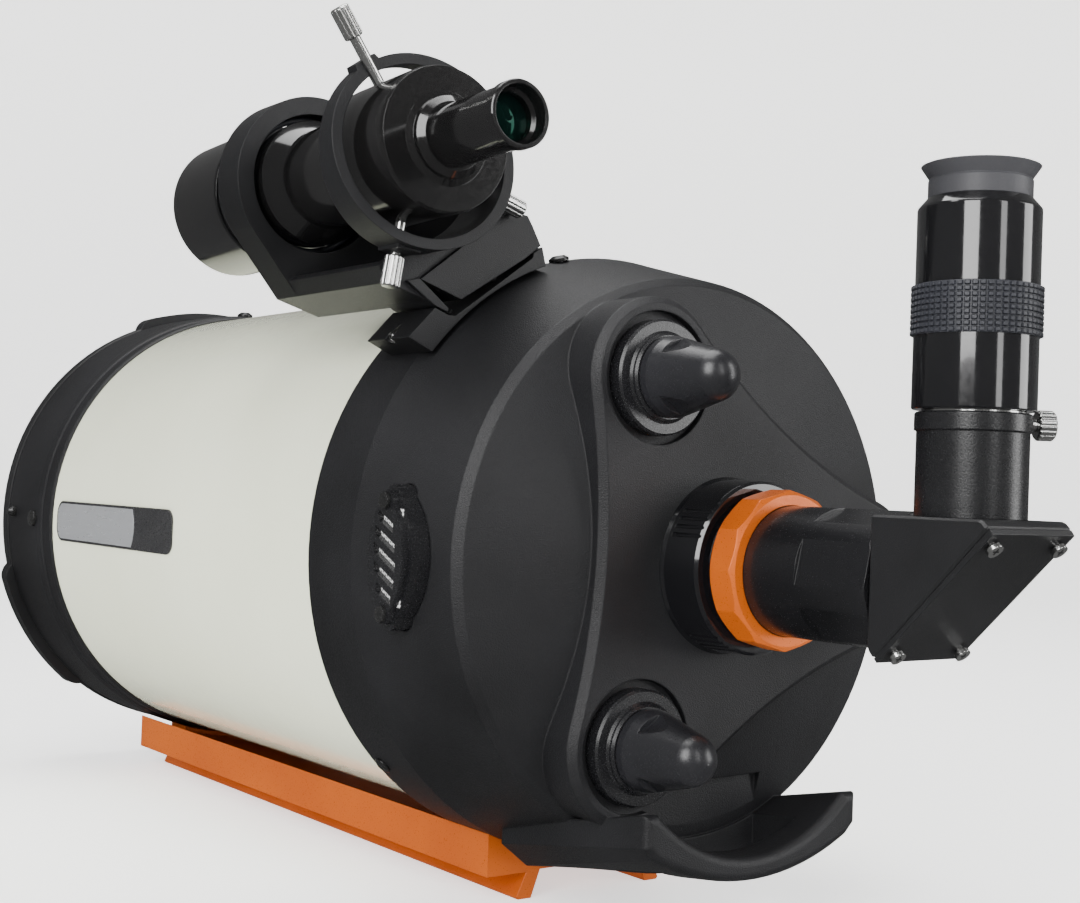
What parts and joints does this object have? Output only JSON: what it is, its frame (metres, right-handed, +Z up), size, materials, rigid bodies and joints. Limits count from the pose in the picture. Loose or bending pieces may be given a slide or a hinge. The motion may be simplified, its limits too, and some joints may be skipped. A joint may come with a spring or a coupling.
{
  "type": "schmidt cassegrain telescope",
  "caption": "Compact catadioptric telescope tube with a dovetail bar, rear focuser and mirror locks, star diagonal with eyepiece, aiming finder and lens cover.",
  "frame": {"origin": "middle of the dovetail bar's two feet, on the plane they stand on", "axes": "+Y forward along the tube to the sky, +X right seen from behind, +Z up; the optical axis is 133.8 mm above the origin"},
  "size_m": [0.2614, 0.5871, 0.324],
  "materials": {
    "tube_enamel": "gloss enamel on aluminium",
    "cell_powder": "fine wrinkle powder coat",
    "matte_black": "matte",
    "baffle_black": "matte",
    "trim_black": "satin",
    "gloss_anodised": "gloss black anodised",
    "satin_anodised": "satin black anodised",
    "orange_anodised": "satin orange anodised",
    "plain_aluminium": "machined",
    "badge_plate": "printed satin plate with a dark end",
    "vent_mesh": "woven mesh",
    "dark_screw": "black oxide",
    "bright_steel": "nickel plated",
    "brass": "turned",
    "mirror_coating": "aluminised",
    "corrector_glass": "coated",
    "lens_glass": "coated",
    "coated_glass": "green coated",
    "knob_rubber": "satin",
    "grip_rubber": "knurled",
    "eyecup_rubber": "soft matte",
    "cover_plastic": "fine texture",
    "finder_casting": "fine powder coat",
    "finder_gloss": "gloss black anodised",
    "eyepiece_gloss": "gloss black anodised",
    "holder_black": "satin black anodised",
    "diagonal_black": "matte fine texture"
  },
  "bodies": {
    "optical_tube": {"tube_shell": "tube_enamel", "rear_cell": "cell_powder", "front_cell": "cell_powder", "corrector_plate": "corrector_glass", "corrector_ring": "matte_black", "corrector_ring_screws": "dark_screw", "secondary_holder": "matte_black", "secondary_mirror": "mirror_coating", "secondary_baffle": "baffle_black", "collimation_screws": "dark_screw", "baffle_tube": "baffle_black", "field_lenses": "lens_glass", "dovetail_bar": "orange_anodised", "dovetail_screws": "dark_screw", "dovetail_spacer": "orange_anodised", "side_badge": "badge_plate", "vent_bezels": "trim_black", "vent_meshes": "vent_mesh", "vent_screws": "dark_screw", "front_ring_screws": "dark_screw", "cell_screws": "dark_screw", "rear_port_adapter": "gloss_anodised", "visual_back": "satin_anodised", "mirror_lock_collars": "trim_black", "focus_bearing_housing": "satin_anodised", "finder_shoe": "finder_casting", "finder_shoe_screws": "dark_screw"},
    "mirror_assembly": {"primary_mirror": "mirror_coating", "mirror_carrier": "plain_aluminium", "mirror_lock_rods": "bright_steel"},
    "focus_control": {"focus_knob": "knob_rubber", "focus_screw": "brass"},
    "mirror_lock_upper": {"mirror_lock_knob_upper": "knob_rubber"},
    "mirror_lock_lower": {"mirror_lock_knob_lower": "knob_rubber"},
    "locking_collar": {"coupling_ring": "orange_anodised"},
    "visual_back_clamp": {"visual_back_screw": "bright_steel"},
    "star_diagonal": {"diagonal_housing": "diagonal_black", "diagonal_nose": "bright_steel", "diagonal_plate": "diagonal_black", "diagonal_mirror": "mirror_coating", "diagonal_plate_screws": "bright_steel", "eyepiece_holder": "holder_black"},
    "holder_clamp": {"holder_screw": "bright_steel"},
    "eyepiece": {"eyepiece_barrel": "bright_steel", "eyepiece_body": "eyepiece_gloss", "eyepiece_grip": "grip_rubber", "eyecup": "eyecup_rubber", "eyepiece_lenses": "lens_glass"},
    "cover": {"lens_cover": "cover_plastic"},
    "finder_mount": {"finder_bracket": "finder_casting", "finder_o_ring": "grip_rubber"},
    "bracket_clamp": {"finder_clamp_screw": "bright_steel"},
    "finder_scope": {"finder_tube": "finder_gloss", "finder_lock_ring": "satin_anodised", "finder_objective_cell": "finder_gloss", "finder_lenses": "coated_glass", "finder_eyepiece": "finder_gloss"},
    "adjuster_top": {"finder_screw_top": "bright_steel"},
    "adjuster_left": {"finder_screw_left": "bright_steel"},
    "adjuster_right": {"finder_screw_right": "bright_steel"}
  },
  "joints": [
    {"name": "focus_turn", "type": "hinge", "parent": "optical_tube", "child": "focus_control", "pos_m": [0.07495, -0.262, 0.13118], "axis": [0, 1, 0], "range_deg": [-4848, 4848]},
    {"name": "mirror_travel", "type": "slide", "parent": "optical_tube", "child": "mirror_assembly", "axis": [0, 1, 0], "range_m": [-0.01, 0.01]},
    {"name": "mirror_lock_upper_turn", "type": "hinge", "parent": "optical_tube", "child": "mirror_lock_upper", "pos_m": [-0.03521, -0.26, 0.20002], "axis": [0, 1, 0], "range_deg": [-720, 0]},
    {"name": "mirror_lock_lower_turn", "type": "hinge", "parent": "optical_tube", "child": "mirror_lock_lower", "pos_m": [-0.03974, -0.26, 0.0702], "axis": [0, 1, 0], "range_deg": [-720, 0]},
    {"name": "locking_collar_turn", "type": "hinge", "parent": "optical_tube", "child": "locking_collar", "pos_m": [0, -0.266, 0.1338], "axis": [0, 1, 0], "range_deg": [-720, 0]},
    {"name": "visual_back_clamp_turn", "type": "hinge", "parent": "optical_tube", "child": "visual_back_clamp", "pos_m": [0.02343, -0.311, 0.1286], "axis": [0.9763, 0, -0.2164], "range_deg": [0, 1080]},
    {"name": "diagonal_turn", "type": "hinge", "parent": "optical_tube", "child": "star_diagonal", "pos_m": [0, -0.315, 0.1338], "axis": [0, 1, 0], "continuous": true},
    {"name": "holder_clamp_turn", "type": "hinge", "parent": "star_diagonal", "child": "holder_clamp", "pos_m": [0.01638, -0.35997, 0.1848], "axis": [0.8192, -0.5736, 0], "range_deg": [0, 1080]},
    {"name": "eyepiece_lift", "type": "slide", "parent": "star_diagonal", "child": "eyepiece", "axis": [0, 0, 1], "range_m": [0, 0.06]},
    {"name": "cover_pull", "type": "slide", "parent": "optical_tube", "child": "cover", "axis": [0, 1, 0], "range_m": [0, 0.06]},
    {"name": "bracket_slide", "type": "slide", "parent": "optical_tube", "child": "finder_mount", "axis": [0, -1, 0], "range_m": [0, 0.06]},
    {"name": "bracket_clamp_turn", "type": "hinge", "parent": "optical_tube", "child": "bracket_clamp", "pos_m": [-0.09726, -0.1655, 0.21516], "axis": [0.8049, 0, 0.5934], "range_deg": [0, 1080]},
    {"name": "finder_tilt", "type": "hinge", "parent": "finder_mount", "child": "finder_scope", "pos_m": [-0.10468, -0.1015, 0.27578], "axis": [-0.8049, 0, -0.5934], "range_deg": [-1, 1]},
    {"name": "adjuster_top_travel", "type": "slide", "parent": "finder_mount", "child": "adjuster_top", "axis": [-0.5934, 0, 0.8049], "range_m": [-0.00147, 0.00147]},
    {"name": "adjuster_left_travel", "type": "slide", "parent": "finder_mount", "child": "adjuster_left", "axis": [-0.1495, 0, -0.9888], "range_m": [-0.00101, 0.00101]},
    {"name": "adjuster_right_travel", "type": "slide", "parent": "finder_mount", "child": "adjuster_right", "axis": [0.9583, 0, -0.2857], "range_m": [-0.00118, 0.00118]}
  ],
  "couplings": [
    {"joint": "focus_turn", "follows": "mirror_travel", "rad_per_m": 8377.6},
    {"joint": "adjuster_top_travel", "follows": "finder_tilt", "m_per_rad": 0.0828},
    {"joint": "adjuster_left_travel", "follows": "finder_tilt", "m_per_rad": -0.056922},
    {"joint": "adjuster_right_travel", "follows": "finder_tilt", "m_per_rad": -0.066127}
  ]
}
